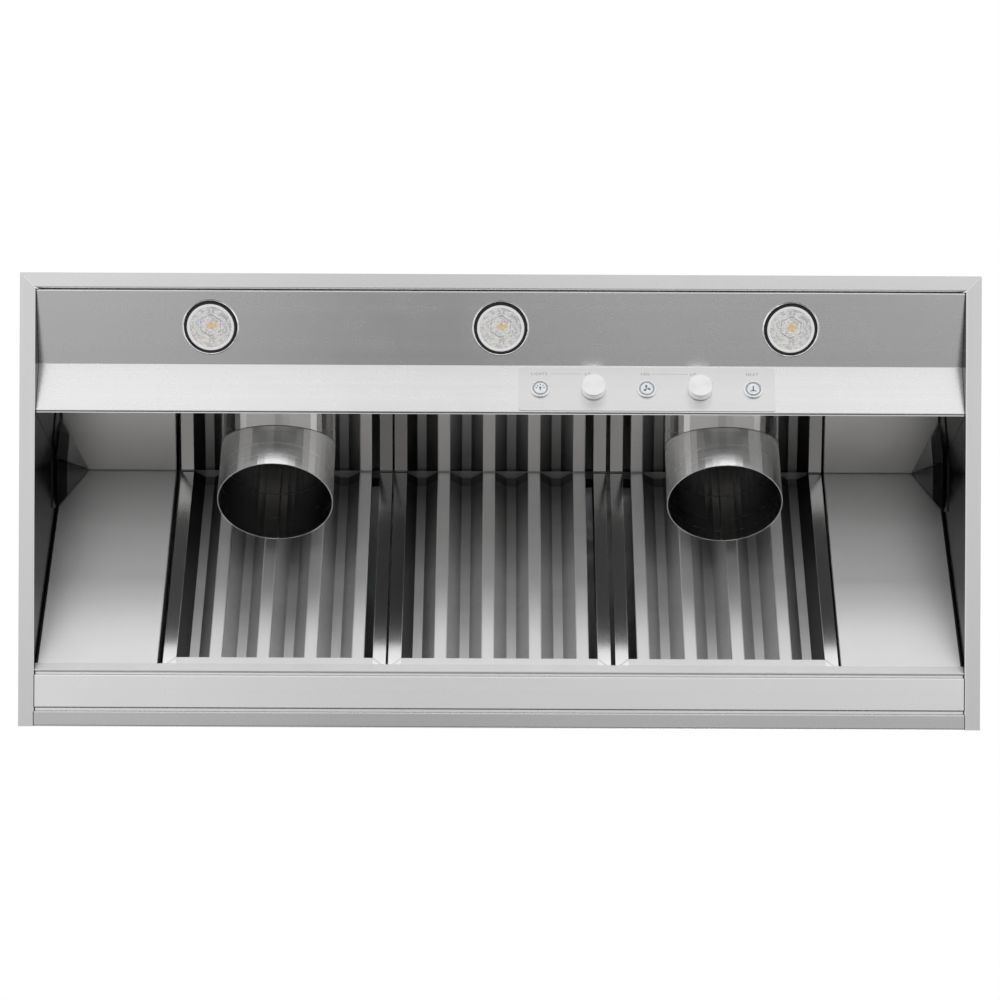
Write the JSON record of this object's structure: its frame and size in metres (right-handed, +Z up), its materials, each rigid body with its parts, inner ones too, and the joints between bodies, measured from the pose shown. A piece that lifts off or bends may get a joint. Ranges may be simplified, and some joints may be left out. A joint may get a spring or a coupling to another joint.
{
  "type": "range hood insert",
  "caption": "Built-in range hood insert: flanged steel casing, sloping baffle filters, round heat-lamp shrouds, lamps, push buttons, dials, drip tray and blower",
  "frame": {"origin": "middle of the flange's underside, which is the plane the insert stands on", "axes": "X across the width, -Y towards the cook, +Y towards the room wall, +Z up"},
  "size_m": [1.178, 0.556, 0.355],
  "materials": {
    "casing_steel": "brushed stainless steel, straight grain along each wall",
    "fascia_steel": "brushed stainless steel, grain along the width",
    "mirror_steel": "polished stainless steel, nearly a mirror",
    "panel_steel": "satin stainless steel",
    "tray_steel": "satin stainless steel",
    "zinc_sheet": "galvanised sheet, dull with a faint spangle",
    "wheel_steel": "galvanised sheet",
    "motor_paint": "black enamel",
    "control_plate_steel": "brushed stainless cover plate with grey printed legends",
    "bezel_metal": "satin aluminium",
    "button_metal": "satin aluminium with a dark printed symbol",
    "switch_plastic": "black moulded plastic",
    "knob_aluminium": "spun aluminium, fine circular lines on the face",
    "shaft_metal": "plain turned steel",
    "control_body_plastic": "dark grey plastic",
    "lamp_trim_chrome": "polished ring",
    "lamp_body_black": "black moulded plastic and anodised fins",
    "lamp_lens_glass": "clear faceted lens",
    "filter_frame_steel": "polished stainless steel",
    "filter_baffle_steel": "polished stainless steel",
    "shroud_steel": "stainless steel brushed round the tube",
    "socket_porcelain": "glazed porcelain",
    "pin_steel": "bright steel rod",
    "module_plastic": "grey plastic"
  },
  "bodies": {
    "casing": {"front_wall": "casing_steel", "left_wall": "casing_steel", "right_wall": "casing_steel", "back_wall": "casing_steel", "top_panel": "zinc_sheet", "light_fascia": "fascia_steel", "heat_lamp_panel": "mirror_steel", "left_filler_panel": "panel_steel", "right_filler_panel": "panel_steel", "left_corner_gusset": "panel_steel", "right_corner_gusset": "panel_steel", "filter_lip_rail": "panel_steel", "filter_top_channel": "zinc_sheet", "control_plate": "control_plate_steel", "light_button_bezel": "bezel_metal", "light_push_switch": "switch_plastic", "fan_button_bezel": "bezel_metal", "fan_push_switch": "switch_plastic", "heat_button_bezel": "bezel_metal", "heat_push_switch": "switch_plastic", "light_rotary_control": "control_body_plastic", "fan_rotary_control": "control_body_plastic", "left_lamp_trim": "lamp_trim_chrome", "left_lamp": "lamp_body_black", "left_lamp_lens": "lamp_lens_glass", "centre_lamp_trim": "lamp_trim_chrome", "centre_lamp": "lamp_body_black", "centre_lamp_lens": "lamp_lens_glass", "right_lamp_trim": "lamp_trim_chrome", "right_lamp": "lamp_body_black", "right_lamp_lens": "lamp_lens_glass", "left_heat_shroud": "shroud_steel", "left_heat_socket": "socket_porcelain", "right_heat_shroud": "shroud_steel", "right_heat_socket": "socket_porcelain", "blower_housing": "zinc_sheet", "blower_motor": "motor_paint", "duct_collar": "zinc_sheet", "damper_pin": "pin_steel", "junction_box": "zinc_sheet", "junction_box_cover": "zinc_sheet", "control_module": "module_plastic"},
    "light_button": {"light_button_cap": "button_metal"},
    "fan_button": {"fan_button_cap": "button_metal"},
    "heat_button": {"heat_button_cap": "button_metal"},
    "light_dial": {"light_knob": "knob_aluminium", "light_knob_shaft": "shaft_metal"},
    "fan_dial": {"fan_knob": "knob_aluminium", "fan_knob_shaft": "shaft_metal"},
    "left_filter": {"left_filter_frame": "filter_frame_steel", "left_filter_rear_baffles": "filter_baffle_steel"},
    "centre_filter": {"centre_filter_frame": "filter_frame_steel", "centre_filter_rear_baffles": "filter_baffle_steel"},
    "right_filter": {"right_filter_frame": "filter_frame_steel", "right_filter_rear_baffles": "filter_baffle_steel"},
    "drip_tray": {"drip_tray": "tray_steel"},
    "blower_rotor": {"blower_wheel": "wheel_steel"},
    "front_flap": {"front_damper_flap": "zinc_sheet"},
    "back_flap": {"back_damper_flap": "zinc_sheet"}
  },
  "joints": [
    {"name": "light_button_press", "type": "slide", "parent": "casing", "child": "light_button", "axis": [0, 0.4044, 0.9146], "range_m": [0, 0.0015], "stiffness_N_per_m": 600, "springref_m": -0.001},
    {"name": "fan_button_press", "type": "slide", "parent": "casing", "child": "fan_button", "axis": [0, 0.4044, 0.9146], "range_m": [0, 0.0015], "stiffness_N_per_m": 600, "springref_m": -0.001},
    {"name": "heat_button_press", "type": "slide", "parent": "casing", "child": "heat_button", "axis": [0, 0.4044, 0.9146], "range_m": [0, 0.0015], "stiffness_N_per_m": 600, "springref_m": -0.001},
    {"name": "light_dial_turn", "type": "hinge", "parent": "casing", "child": "light_dial", "pos_m": [0.1145, -0.13863, 0.01831], "axis": [0, -0.4044, -0.9146], "range_deg": [0, 280]},
    {"name": "fan_dial_turn", "type": "hinge", "parent": "casing", "child": "fan_dial", "pos_m": [0.2455, -0.13863, 0.01831], "axis": [0, -0.4044, -0.9146], "range_deg": [0, 280]},
    {"name": "left_filter_lift", "type": "slide", "parent": "casing", "child": "left_filter", "axis": [0, -0.7237, 0.6901], "range_m": [0, 0.013]},
    {"name": "centre_filter_lift", "type": "slide", "parent": "casing", "child": "centre_filter", "axis": [0, -0.7237, 0.6901], "range_m": [0, 0.013]},
    {"name": "right_filter_lift", "type": "slide", "parent": "casing", "child": "right_filter", "axis": [0, -0.7237, 0.6901], "range_m": [0, 0.013]},
    {"name": "drip_tray_lift", "type": "slide", "parent": "casing", "child": "drip_tray", "axis": [0, 0, 1], "range_m": [0, 0.0025]},
    {"name": "blower_spin", "type": "hinge", "parent": "casing", "child": "blower_rotor", "pos_m": [0, 0.1888, 0.1825], "axis": [1, 0, 0], "continuous": true},
    {"name": "front_flap_open", "type": "hinge", "parent": "casing", "child": "front_flap", "pos_m": [0, 0.1623, 0.325], "axis": [-1, 0, 0], "range_deg": [0, 72]},
    {"name": "back_flap_open", "type": "hinge", "parent": "casing", "child": "back_flap", "pos_m": [0, 0.1623, 0.325], "axis": [1, 0, 0], "range_deg": [0, 72]}
  ]
}
